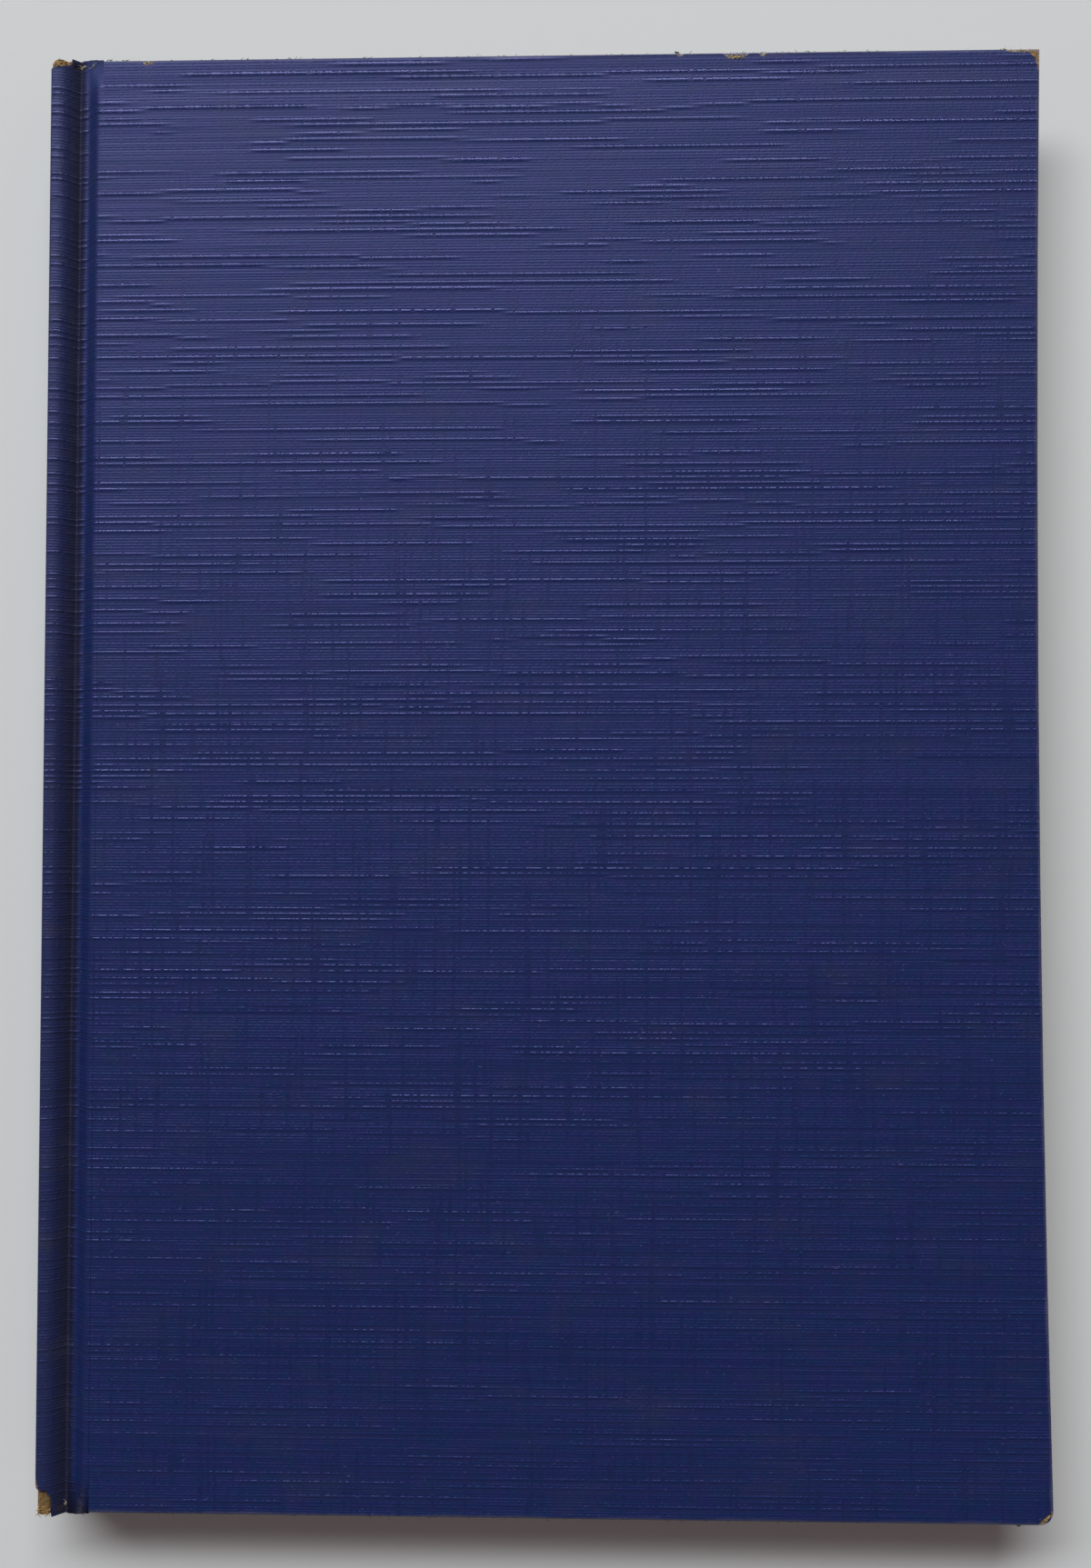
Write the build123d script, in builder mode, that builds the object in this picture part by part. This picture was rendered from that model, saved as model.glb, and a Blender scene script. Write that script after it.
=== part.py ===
from build123d import *
import os

os.makedirs("parts", exist_ok=True)

# A thin hardback book with blank cloth covers, closed and lying on its back cover.
# X runs from the spine to the fore-edge, Y from tail to head, Z up from the table.

# sizes of the case
case_width = 131.0
case_height = 190.0
board_thickness = 1.8
cloth = 0.3
endpaper = 0.2
lining = 0.3
strip_thickness = 0.45
glue_gap = 0.05
turn_in = 15.0
mitre_width = 0.16
mitre_depth = 0.12
lining_reach = 26.0
lining_end_gap = 1.0
spine_overhang = 0.8

# sizes of the block of pages
page_stack = 5.2
square = 3.0
gatherings = 8
fold_bulge = 0.16
fore_edge_hollow = 0.45

# places in the width, from the spine's outermost line
groove_split = 4.4
board_start = 7.2
cover_split = 7.8

# the spine's round and its roll, as the outer line of the cloth
round_half = 4.2
round_depth = 0.5
roll_top = 5.35
roll_crest = 2.2
roll_radius = 2.2
strip_reach = 2.95
groove_near = 4.1
groove_far = 4.35
pinch_radius = 0.12
shelf_start = 4.55
shelf_rise = 0.2
slope_start = 5.5
slope_rise = 0.3
step_top = 7.1
slope_radius = 1.2
crease_radius = 0.4

# the outer edges of the boards
fore_edge_bow = 0.9
head_corner = 1.2
tail_corner = 1.4
plain_corner = 0.8
edge_round = 0.4

# the spine's ends
end_round = 1.6
end_slope_start = 5.6

# where the spine's cloth is worn through to the card: outlines seen from above, each
# point with its distances inwards from the corner of the spine
worn_depth = 1.5
worn_head = (
    (-1, 2.6), (0.4, 2.4), (0.65, 2.15), (1.1, 1.6), (2, 1.45),
    (2.9, 1.1), (3.2, 0.8), (3.3, -1), (-1, -1),
)
worn_tail = (
    (-1, 7.4), (0.3, 6.2), (0.5, 5.2), (0.9, 3.9), (1.3, 3.5), (2, 3.6),
    (2.6, 2.7), (2.8, 1.9), (2.65, 0.9), (2.9, -1), (-1, -1),
)

# where the front cover's cloth is worn through to the board: its bare corners, drawn in
# the same way, and the spots along the head edge, each with its place as a share of the
# width, its length and its depth
bare_head_corner = (
    (4.6, -1), (4.4, 0.35), (3.9, 0.5), (1.6, 0.55), (0.95, 1),
    (0.6, 1.55), (0.4, 2.3), (-1, 2.9), (-1, -1),
)
bare_tail_corner = ((-1, 1.9), (0.2, 1.75), (0.75, 1.5), (1.4, 0.95), (1.95, 0.4), (2.2, -1), (-1, -1))
bare_spots = ((0.105, 2.2, 0.75), (0.642, 1.4, 0.5), (0.698, 3.8, 1.0), (0.725, 1.1, 0.65))

# heights from the middle of the book's thickness
page_half = page_stack / 2
block_half = page_half + endpaper
flap_level = block_half + endpaper
board_level = flap_level + lining
face_level = board_level + board_thickness
outer_level = face_level + cloth
groove_level = board_level + cloth

# places that follow from the sizes
middle_height = outer_level
spine_x = -case_width / 2
board_half = case_height / 2 - cloth
board_fore = case_width - cloth
page_fore = case_width - square
page_half_height = case_height / 2 - square
lining_half = case_height / 2 - turn_in - lining_end_gap
past = case_width / 20
spine_half = case_height / 2 + spine_overhang
round_radius = (round_half**2 + round_depth**2) / (2 * round_depth)
strip_outer = round_radius - cloth - glue_gap
strip_inner = strip_outer - strip_thickness
flap_inner = strip_inner - glue_gap - cloth
block_radius = flap_inner - lining

section = Plane(origin=(spine_x, 0, middle_height), x_dir=(1, 0, 0), z_dir=(0, -1, 0))
middle = Plane.XY.offset(middle_height)


def level(height):
    """A plane to draw on from above, that far from the middle, with X from the spine."""
    return Plane(origin=(spine_x, 0, middle_height + height))


def on_round(radius, height):
    """The point at that height on a circle about the centre of the spine's round."""
    return (round_radius - (radius**2 - height**2) ** 0.5, height)


def turned_to(side):
    """Lays a piece drawn for the front cover on the back one."""
    if side == "back":
        mirror(about=middle, mode=Mode.REPLACE)


def kept_between(near, far):
    """Keeps what lies between two distances from the spine's outermost line."""
    with BuildSketch(section) as window:
        with Locations(((near + far) / 2, 0)):
            Rectangle(far - near, 4 * outer_level)
    extrude(window.sketch, amount=case_height, both=True, mode=Mode.INTERSECT)


def cut_corner(points, corner, bottom):
    """Cuts away an outline drawn inwards from a corner, from that height up."""
    across = 1 if corner[0] < case_width / 2 else -1
    along = -1 if corner[1] > 0 else 1
    with BuildSketch(level(bottom)) as worn:
        with BuildLine():
            Polyline(*[(corner[0] + across * x, corner[1] + along * y) for x, y in points], close=True)
        make_face()
    extrude(worn.sketch, amount=outer_level, mode=Mode.SUBTRACT)


def wear_spot(place, length, depth):
    """Wears the cloth off the board's face in a shallow round spot at the head edge."""
    radius = (length**2 / 4 + depth**2) / (2 * depth)
    with BuildSketch(level(face_level)) as worn:
        with Locations((place, case_height / 2 + radius - depth)):
            Circle(radius)
    extrude(worn.sketch, amount=outer_level, mode=Mode.SUBTRACT)


def shaped_ends(inset):
    """Rounds off the spine's outer corners, and slopes the ends down to the boards."""
    tip = spine_half - inset
    edge = case_height / 2 - inset
    far = cover_split + past
    with BuildSketch(level(-2 * outer_level)) as outline:
        with BuildLine():
            Polyline(
                (inset, tip),
                (end_slope_start, tip),
                (board_start, edge),
                (far, edge),
                (far, -edge),
                (board_start, -edge),
                (end_slope_start, -tip),
                (inset, -tip),
                close=True,
            )
        make_face()
        fillet(outline.vertices().group_by(Axis.X)[0], end_round)
    extrude(outline.sketch, amount=4 * outer_level, mode=Mode.INTERSECT)


def save(piece, name):
    piece.part.label = name
    export_step(piece.part, f"parts/{name}.step")


# The cloth in section: its outer line runs from the front board down into the
# groove, over the spine's roll, round the back and up to the other board.


def outer_side(sign):
    """One half of the outer line, from the board's face to the end of the spine's round."""
    shoulder = on_round(round_radius, round_half)
    lean = round_half / (round_radius - shoulder[0])
    crest = shoulder[0] + lean * (roll_top - round_half)
    points = [
        (cover_split + past, outer_level),
        (step_top, outer_level),
        (slope_start, groove_level + slope_rise),
        (shelf_start, groove_level + shelf_rise),
        (groove_far, groove_level),
        (groove_near, groove_level),
        (roll_crest, roll_top),
        (crest, roll_top),
        shoulder,
    ]
    return [(x, sign * height) for x, height in points]


outer_radii = (
    slope_radius, slope_radius, pinch_radius, pinch_radius, pinch_radius, roll_radius, crease_radius,
)

with BuildSketch() as case_fill:
    with BuildLine():
        upper = FilletPolyline(*outer_side(1), radius=outer_radii)
        lower = FilletPolyline(*outer_side(-1), radius=outer_radii)
        ThreePointArc(upper @ 1, (0, 0), lower @ 1)
        Line(upper @ 0, lower @ 0)
    make_face()


def inside_case(depth):
    """The section of the case, drawn in by that depth."""
    with BuildSketch() as room:
        add(case_fill.sketch)
        offset(amount=-depth, kind=Kind.INTERSECTION, mode=Mode.REPLACE)
    return room.sketch


def shoulder_room(radius):
    """The room for the block between the shoulders, rounded at the spine."""
    corner = on_round(radius, flap_level)
    far = cover_split + 2 * past
    with BuildSketch() as room:
        with BuildLine():
            ThreePointArc((corner[0], -flap_level), on_round(radius, 0), corner)
            Polyline(corner, (far, flap_level), (far, -flap_level), (corner[0], -flap_level))
        make_face()
    return room.sketch


def wrapped_layer(radius):
    """A layer as thick as the cloth, wrapped round that room."""
    with BuildSketch() as layer:
        add(shoulder_room(radius))
        offset(amount=lining, kind=Kind.INTERSECTION, mode=Mode.REPLACE)
        add(shoulder_room(radius), mode=Mode.SUBTRACT)
    return layer.sketch


def case_cloth(half_length, folded_depth):
    """The cloth over the spine and the joints, folded in at head and tail."""
    with BuildPart() as wrap:
        with BuildSketch(section):
            add(case_fill.sketch)
            add(inside_case(cloth), mode=Mode.SUBTRACT)
        extrude(amount=half_length, both=True)
        for end in (1, -1):
            inside = section.offset(-end * (half_length - turn_in))
            fold = section.offset(-end * (half_length - folded_depth))
            with BuildSketch(inside):
                add(wrapped_layer(flap_inner))
            extrude(amount=-end * turn_in)
            with BuildSketch(fold):
                add(case_fill.sketch)
                add(shoulder_room(flap_inner), mode=Mode.SUBTRACT)
            extrude(amount=-end * folded_depth)
    return wrap.part


# The block of pages, with the round backs of its folded gatherings.

with BuildPart() as page_block:
    with BuildSketch(section):
        with BuildLine():
            height = page_stack / gatherings
            for number in range(gatherings):
                low = on_round(block_radius - fold_bulge, -page_half + number * height)
                high = on_round(block_radius - fold_bulge, -page_half + (number + 1) * height)
                crown = on_round(block_radius - glue_gap, (low[1] + high[1]) / 2)
                ThreePointArc(low, crown, high)
            first = on_round(block_radius - fold_bulge, -page_half)
            last = on_round(block_radius - fold_bulge, page_half)
            Line(first, (page_fore, -page_half))
            ThreePointArc((page_fore, -page_half), (page_fore - fore_edge_hollow, 0), (page_fore, page_half))
            Line((page_fore, page_half), last)
        make_face()
    extrude(amount=page_half_height, both=True)
save(page_block, "page_block")

# The open-weave lining glued round the backs of the gatherings.

with BuildPart() as spine_lining:
    with BuildSketch(section):
        add(wrapped_layer(block_radius))
    extrude(amount=lining_half, both=True)
    kept_between(0, groove_split)
save(spine_lining, "spine_lining")

# The card strip that stiffens the spine of the case, bent round into both rolls.

with BuildPart() as spine_strip:
    with BuildSketch(section):
        add(inside_case(cloth + glue_gap))
        add(inside_case(cloth + glue_gap + strip_thickness), mode=Mode.SUBTRACT)
    extrude(amount=spine_half - cloth, both=True)
    kept_between(0, strip_reach)
    shaped_ends(glue_gap)
save(spine_strip, "spine_strip")

# The cloth of the spine, with its roll on either side.

with BuildPart() as spine_cloth:
    add(case_cloth(spine_half, cloth))
    kept_between(-past, groove_split)
    shaped_ends(0)
    cut_corner(worn_head, (0, spine_half), worn_depth)
    cut_corner(worn_tail, (0, -spine_half), worn_depth)
save(spine_cloth, "spine_cloth")

# The endpapers: each is a folded sheet, half of it a flyleaf and half pasted to a board.


def make_flyleaf(side):
    with BuildPart() as leaf:
        fold = on_round(block_radius, flap_level)[0] + glue_gap
        with BuildSketch(section):
            with BuildLine():
                Line((page_fore, page_half), (page_fore, block_half))
                Line((page_fore, block_half), (groove_split, block_half))
                Line((groove_split, block_half), (groove_split, flap_level))
                Line((groove_split, flap_level), (fold + endpaper, flap_level))
                ThreePointArc(
                    (fold + endpaper, flap_level), (fold, block_half), (fold + endpaper, page_half)
                )
                Line((fold + endpaper, page_half), (page_fore, page_half))
            make_face()
        extrude(amount=page_half_height, both=True)
        turned_to(side)
    save(leaf, f"{side}_flyleaf")


def strip_across_joint(side, name, bottom, thickness, half_length):
    """A flat strip over the joint, from the groove to the board."""
    with BuildPart() as strip:
        with BuildSketch(section):
            with Locations(((groove_split + cover_split) / 2, bottom + thickness / 2)):
                Rectangle(cover_split - groove_split, thickness)
        extrude(amount=half_length, both=True)
        turned_to(side)
    save(strip, name)


def make_joint_cloth(side):
    """The cloth over the joint, with its fold bunched up beside the board's end."""
    with BuildPart() as joint:
        add(case_cloth(spine_half, spine_overhang + cloth))
        kept_between(groove_split, cover_split)
        shaped_ends(0)
        split(bisect_by=middle, keep=Keep.TOP)
        turned_to(side)
    save(joint, f"{side}_joint_cloth")


# The covers: boards wrapped in cloth on three sides, which is folded in under the
# endpaper.


def cover_outline(height, near, grow, corners):
    """The outline of a board seen from above, grown on its three outer edges."""
    half = board_half + grow
    fore = board_fore + grow
    with BuildSketch(level(height)) as outline:
        with BuildLine():
            Polyline((fore, -half), (near, -half), (near, half), (fore, half))
            ThreePointArc((fore, half), (fore - fore_edge_bow, 0), (fore, -half))
        make_face()
        outer = outline.vertices().group_by(Axis.X)[-1].sort_by(Axis.Y)
        fillet(outer[0], corners[0] + grow)
        fillet(outer[-1], corners[1] + grow)
    return outline.sketch


def make_board(side, corners):
    with BuildPart() as board:
        extrude(cover_outline(board_level, board_start, 0, corners), amount=board_thickness)
        near_edges = board.edges().filter_by(Axis.Y).group_by(Axis.X)[0]
        fillet(near_edges.sort_by(Axis.Z)[-1], crease_radius)
        turned_to(side)
    save(board, f"{side}_board")


def wear_front_cloth():
    """The worn edges and corners of the front cover's cloth."""
    for share, length, depth in bare_spots:
        wear_spot(share * case_width, length, depth)
    cut_corner(bare_head_corner, (case_width, case_height / 2), face_level)
    cut_corner(bare_tail_corner, (case_width, -case_height / 2), face_level)


def mark_mitres():
    """The seams where the folded-in cloth meets at the corners."""
    with BuildSketch(level(flap_level)) as seams:
        for end in (1, -1):
            with Locations((case_width - turn_in / 2, end * (case_height - turn_in) / 2)):
                Rectangle(1.5 * turn_in, mitre_width, rotation=end * 45)
    extrude(seams.sketch, amount=mitre_depth, mode=Mode.SUBTRACT)


def make_cover_cloth(side, corners):
    window_width = board_fore - turn_in - cover_split + cloth
    with BuildPart() as cover:
        extrude(cover_outline(flap_level, cover_split, cloth, corners), amount=outer_level - flap_level)
        rims = cover.edges().group_by(Axis.Z)[-1].sort_by(Axis.X)[1:]
        fillet(rims, edge_round)
        room = cover_outline(board_level, cover_split - past, 0, corners)
        extrude(room, amount=board_thickness, mode=Mode.SUBTRACT)
        with BuildSketch(level(flap_level)):
            with Locations((cover_split + window_width / 2 - cloth / 2, 0)):
                Rectangle(window_width + cloth, case_height - 2 * turn_in)
        extrude(amount=cloth, mode=Mode.SUBTRACT)
        mark_mitres()
        if side == "front":
            wear_front_cloth()
        turned_to(side)
    save(cover, f"{side}_cover_cloth")


def make_pastedown(side):
    """The pasted half: it follows the step from the folded-in cloth down to the board."""
    half = page_half_height
    with BuildPart() as paper:
        with BuildSketch(level(block_half)):
            with Locations(((cover_split + page_fore) / 2, 0)):
                Rectangle(page_fore - cover_split, 2 * half)
        extrude(amount=endpaper)
        sunk_near = cover_split + lining_reach - groove_split
        sunk_far = case_width - turn_in
        sunk_half = case_height / 2 - turn_in
        with BuildSketch(level(block_half)):
            with Locations(((sunk_near + sunk_far) / 2, 0)):
                Rectangle(sunk_far - sunk_near, 2 * sunk_half)
        extrude(amount=board_level - block_half)
        with BuildSketch(level(block_half)):
            with Locations(((sunk_near + sunk_far) / 2, 0)):
                Rectangle(sunk_far - sunk_near - 2 * endpaper, 2 * (sunk_half - endpaper))
        extrude(amount=board_level - block_half - endpaper, mode=Mode.SUBTRACT)
        turned_to(side)
    save(paper, f"{side}_pastedown")


def make_lining_flap(side):
    """The lining's flap, glued to the board under the pasted sheet."""
    with BuildPart() as flap:
        with BuildSketch(level(flap_level)):
            with Locations(((cover_split + lining_reach) / 2, 0)):
                Rectangle(lining_reach - cover_split, 2 * lining_half)
        extrude(amount=lining)
        turned_to(side)
    save(flap, f"{side}_lining_flap")


for side, corners in (("front", (tail_corner, head_corner)), ("back", (plain_corner, plain_corner))):
    make_flyleaf(side)
    make_joint_cloth(side)
    strip_across_joint(side, f"{side}_endpaper_hinge", block_half, endpaper, page_half_height)
    strip_across_joint(side, f"{side}_lining_hinge", flap_level, lining, lining_half)
    make_board(side, corners)
    make_cover_cloth(side, corners)
    make_pastedown(side)
    make_lining_flap(side)
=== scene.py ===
import math
import random
from typing import NamedTuple

import bmesh
import bpy
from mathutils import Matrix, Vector, noise


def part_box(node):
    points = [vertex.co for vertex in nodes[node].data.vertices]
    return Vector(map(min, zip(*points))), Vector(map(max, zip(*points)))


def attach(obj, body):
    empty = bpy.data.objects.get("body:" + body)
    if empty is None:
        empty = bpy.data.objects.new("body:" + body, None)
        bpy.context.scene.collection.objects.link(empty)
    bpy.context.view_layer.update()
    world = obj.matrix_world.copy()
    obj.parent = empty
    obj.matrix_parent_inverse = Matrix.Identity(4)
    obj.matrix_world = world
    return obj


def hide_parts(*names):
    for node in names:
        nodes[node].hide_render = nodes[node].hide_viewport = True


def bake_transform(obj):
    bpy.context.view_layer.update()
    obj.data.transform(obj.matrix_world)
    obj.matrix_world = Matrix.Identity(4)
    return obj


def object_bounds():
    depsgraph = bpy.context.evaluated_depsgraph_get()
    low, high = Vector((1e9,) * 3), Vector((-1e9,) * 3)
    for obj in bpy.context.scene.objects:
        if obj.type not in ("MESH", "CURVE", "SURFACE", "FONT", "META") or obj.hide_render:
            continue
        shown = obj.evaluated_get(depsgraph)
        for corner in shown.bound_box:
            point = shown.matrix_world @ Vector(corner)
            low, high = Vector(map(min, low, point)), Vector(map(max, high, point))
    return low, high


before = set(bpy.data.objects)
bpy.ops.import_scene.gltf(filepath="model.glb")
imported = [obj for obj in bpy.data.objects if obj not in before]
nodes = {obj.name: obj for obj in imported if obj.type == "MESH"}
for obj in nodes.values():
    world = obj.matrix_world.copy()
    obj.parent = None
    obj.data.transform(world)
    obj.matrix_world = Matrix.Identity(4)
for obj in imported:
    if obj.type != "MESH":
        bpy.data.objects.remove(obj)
cad_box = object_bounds()

MM = 0.001

# The book's own measures, read from the frame.
front_low, front_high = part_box("front_cover_cloth")
spine_low, spine_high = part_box("spine_cloth")
pages_low, pages_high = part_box("page_block")
strip_low, strip_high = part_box("spine_strip")
joint_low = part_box("front_joint_cloth")[0]
board_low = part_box("front_board")[0]
case_half = front_high.y
spine_half = spine_high.y

# The camera: its lens and place are fitted to the edges of the book in the photograph.
PHOTO_HEIGHT = 1725
FOCAL_PIXELS = 1500
SENSOR_MM = 24
CAMERA_PLACE = Vector((5.45, -6.18, 187.36)) * MM
CAMERA_TURN = (math.radians(1.656), math.radians(1.43), math.radians(0.048))
CAMERA_NEAREST = 10 * MM


def make_camera():
    data = bpy.data.cameras.new("camera")
    data.sensor_fit = "VERTICAL"
    data.sensor_height = SENSOR_MM
    data.lens = SENSOR_MM * FOCAL_PIXELS / PHOTO_HEIGHT
    data.clip_start = CAMERA_NEAREST
    camera = bpy.data.objects.new("camera", data)
    camera.location = CAMERA_PLACE
    camera.rotation_euler = CAMERA_TURN
    bpy.context.scene.collection.objects.link(camera)
    bpy.context.scene.camera = camera


# Materials: a small kit for making and linking shader nodes.


class Grain(NamedTuple):
    """A noise pattern: its changes along x, y and z for each metre, its detail and roughness."""

    scale: tuple
    detail: float
    roughness: float = 0.5


class Recipe:
    """A material in the making, with short calls for the nodes it needs."""

    def __init__(self, name):
        self.material = bpy.data.materials.new(name)
        self.material.use_nodes = True
        self.tree = self.material.node_tree
        self.tree.nodes.clear()
        self.output = self.tree.nodes.new("ShaderNodeOutputMaterial")
        self.shader = self.tree.nodes.new("ShaderNodeBsdfPrincipled")
        self.link(self.shader.outputs["BSDF"], self.output.inputs["Surface"])

    def link(self, source, target):
        self.tree.links.new(source, target)

    def feed(self, target, value):
        """Sets an input to a number or colour, or links it to a node's output."""
        if isinstance(value, bpy.types.NodeSocket):
            self.link(value, target)
        else:
            target.default_value = value

    def set(self, **values):
        """Sets inputs of the surface shader, named with underscores for spaces."""
        for name, value in values.items():
            self.feed(self.shader.inputs[name.replace("_", " ")], value)

    def place(self, attribute=None):
        """The point on the surface in metres, or as kept in a mesh attribute."""
        if attribute:
            node = self.tree.nodes.new("ShaderNodeAttribute")
            node.attribute_name = attribute
            return node.outputs["Vector"]
        return self.tree.nodes.new("ShaderNodeTexCoord").outputs["Object"]

    def facing(self):
        """The direction that the surface faces."""
        return self.tree.nodes.new("ShaderNodeTexCoord").outputs["Normal"]

    def split(self, vector):
        node = self.tree.nodes.new("ShaderNodeSeparateXYZ")
        self.feed(node.inputs[0], vector)
        return node.outputs

    def join(self, x=0.0, y=0.0, z=0.0):
        node = self.tree.nodes.new("ShaderNodeCombineXYZ")
        for socket, value in zip(node.inputs, (x, y, z)):
            self.feed(socket, value)
        return node.outputs[0]

    def math(self, operation, *values):
        node = self.tree.nodes.new("ShaderNodeMath")
        node.operation = operation
        for socket, value in zip(node.inputs, values):
            self.feed(socket, value)
        return node.outputs[0]

    def times(self, first, second):
        return self.math("MULTIPLY", first, second)

    def minus(self, first, second):
        return self.math("SUBTRACT", first, second)

    def scaled_and_added(self, value, factor, added):
        """value times factor, plus added."""
        return self.math("MULTIPLY_ADD", value, factor, added)

    def scaled(self, vector, x, y, z):
        """The vector with each of its parts multiplied."""
        node = self.tree.nodes.new("ShaderNodeVectorMath")
        node.operation = "MULTIPLY"
        self.feed(node.inputs[0], vector)
        node.inputs[1].default_value = (x, y, z)
        return node.outputs[0]

    def noise(self, vector, detail, roughness=0.5):
        node = self.tree.nodes.new("ShaderNodeTexNoise")
        node.inputs["Scale"].default_value = 1.0
        node.inputs["Detail"].default_value = detail
        node.inputs["Roughness"].default_value = roughness
        self.feed(node.inputs["Vector"], vector)
        return node.outputs["Fac"]

    def grain(self, place, pattern):
        """Noise over the surface in one of the patterns."""
        return self.noise(self.scaled(place, *pattern.scale), pattern.detail, pattern.roughness)

    def ramp(self, value, low, high, to_low=0.0, to_high=1.0):
        """Maps a stretch of values to another, smoothly, and clamps it."""
        node = self.tree.nodes.new("ShaderNodeMapRange")
        node.interpolation_type = "SMOOTHSTEP"
        self.feed(node.inputs["Value"], value)
        node.inputs["From Min"].default_value = low
        node.inputs["From Max"].default_value = high
        node.inputs["To Min"].default_value = to_low
        node.inputs["To Max"].default_value = to_high
        return node.outputs["Result"]

    def fall(self, value, low, high, start=1.0):
        """A ramp that begins at start and goes down to nothing."""
        return self.ramp(value, low, high, start, 0.0)

    def mix(self, share, first, second):
        node = self.tree.nodes.new("ShaderNodeMix")
        node.data_type = "RGBA"
        self.feed(node.inputs["Factor"], share)
        self.feed(node.inputs["A"], first)
        self.feed(node.inputs["B"], second)
        return node.outputs["Result"]

    def bump(self, height, distance):
        """The facing of a surface with this relief, that stands up by the distance."""
        node = self.tree.nodes.new("ShaderNodeBump")
        node.inputs["Distance"].default_value = distance
        node.inputs["Strength"].default_value = 1.0
        self.feed(node.inputs["Height"], height)
        return node.outputs["Normal"]


def linear(red, green, blue):
    """A colour as it looks on screen, in 255ths, as the linear values of a shader."""
    parts = []
    for part in (red, green, blue):
        share = part / 255
        parts.append(share / 12.92 if share <= 0.04045 else ((share + 0.055) / 1.055) ** 2.4)
    return (*parts, 1.0)


# Colours and patterns of the cloth.

CLOTH_BLUE = linear(9, 35, 81)
CLOTH_VIOLET = linear(20, 32, 84)
# painted shade: the cloth's colour deep between the ridges and in the shadow below thick threads
CLOTH_PAINTED_SHADE = linear(8, 13, 44)
# painted shade, with dirt, in the groove beside the roll
GROOVE_SHADE_COLOUR = linear(5, 7, 20)
# pale colour of the nubs, and the painted highlight on the lit side of thick threads
CLOTH_PALE_AND_HIGHLIGHT = linear(74, 76, 122)
CLOTH_SOILED = linear(44, 46, 62)
RIM_RUBBED = linear(82, 82, 100)
WORN_GROUND = linear(132, 116, 96)
WORN_TAIL = linear(122, 98, 76)
SHEEN_TINT = (0.44, 0.42, 0.92, 1.0)

SWAY = Grain((9, 9, 9), detail=1.0)
UNEVEN = Grain((5, 700, 700), detail=1.0)
LEAN = Grain((12, 450, 450), detail=2.0, roughness=0.6)
PATCHES = Grain((420, 700, 420), detail=3.0, roughness=0.6)
NUBS = Grain((2100, 2600, 2100), detail=1.0)
SMUDGES = Grain((110, 170, 110), detail=4.0, roughness=0.65)

# The cloth's wear, the inward bow of the fore-edge that it follows, and the groove's painted shade and
# dirt.
FORE_EDGE_BOW = 0.9 * MM
RIM_RAGGED = 0.9 * MM
RIM_FADE = (0.05 * MM, 0.6 * MM)
RIM_SHARE = 0.62
# how far the bare corners reach along the head or tail edge, and along the fore-edge
TAIL_CORNER = (2.0 * MM, 1.9 * MM)
HEAD_CORNER_EXTRA = (2.6 * MM, 1.2 * MM)
CORNER_EDGE = (0.75, 1.1)
CORNER_RIM = (0.15 * MM, 0.45 * MM)
CORNER_WALL = (0.5, 0.8)
# the length over which the wear changes from tail to head, and from the back cover to the front
WEAR_CHANGE = 1 * MM
# the bare stripe on the spine: its ends and widths, measured from the tail and the outer line
STRIPE_NARROWS = (2.4 * MM, 5.8 * MM)
STRIPE_WIDTHS = (1.6 * MM, 0.95 * MM)
STRIPE_ENDS = (5.2 * MM, 5.8 * MM)
STRIPE_HEIGHTS = (7.6 * MM, 8.6 * MM)
STRIPE_RAGGED = 0.5 * MM
STRIPE_EDGE = 0.16 * MM
# the painted shade and dirt in the groove, from the spine's outer line: where it starts, is full, thins and
# ends
GROOVE_SHADE_REACH = (2.6 * MM, 3.9 * MM, 4.7 * MM, 5.3 * MM)


def worn_rims(recipe, x, y, z, colour, ragged):
    """Rubs the colour pale along the cover's outer edges, and through at its front corners."""
    share = recipe.times(y, 1 / case_half)
    bow = recipe.minus(1.0, recipe.times(share, share))
    from_fore = recipe.minus(front_high.x, x)
    from_fore = recipe.minus(from_fore, recipe.times(bow, FORE_EDGE_BOW))
    from_end = recipe.minus(case_half, recipe.math("ABSOLUTE", y))
    rim = recipe.math("MINIMUM", from_fore, from_end)
    rim = recipe.scaled_and_added(ragged, RIM_RAGGED, recipe.minus(rim, RIM_RAGGED / 2))
    colour = recipe.mix(recipe.fall(rim, *RIM_FADE, start=RIM_SHARE), colour, RIM_RUBBED)
    # the corners: a quarter ellipse, wider at the head than at the tail
    at_head = recipe.ramp(y, -WEAR_CHANGE, WEAR_CHANGE)
    reach_x = recipe.scaled_and_added(at_head, HEAD_CORNER_EXTRA[0], TAIL_CORNER[0])
    reach_y = recipe.scaled_and_added(at_head, HEAD_CORNER_EXTRA[1], TAIL_CORNER[1])
    part_x = recipe.math("DIVIDE", from_fore, reach_x)
    part_y = recipe.math("DIVIDE", from_end, reach_y)
    away = recipe.math("ADD", recipe.times(part_x, part_x), recipe.times(part_y, part_y))
    corner = recipe.fall(away, *CORNER_EDGE)
    # they are bare at their very rim, and on the walls below it
    level = recipe.math("ABSOLUTE", recipe.split(recipe.facing())[2])
    at_rim = recipe.math("MAXIMUM", recipe.fall(rim, *CORNER_RIM), recipe.fall(level, *CORNER_WALL))
    bare = recipe.times(corner, at_rim)
    bare = recipe.times(bare, recipe.ramp(z, front_low.z - WEAR_CHANGE, front_low.z))
    return recipe.mix(bare, colour, WORN_GROUND)


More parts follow.
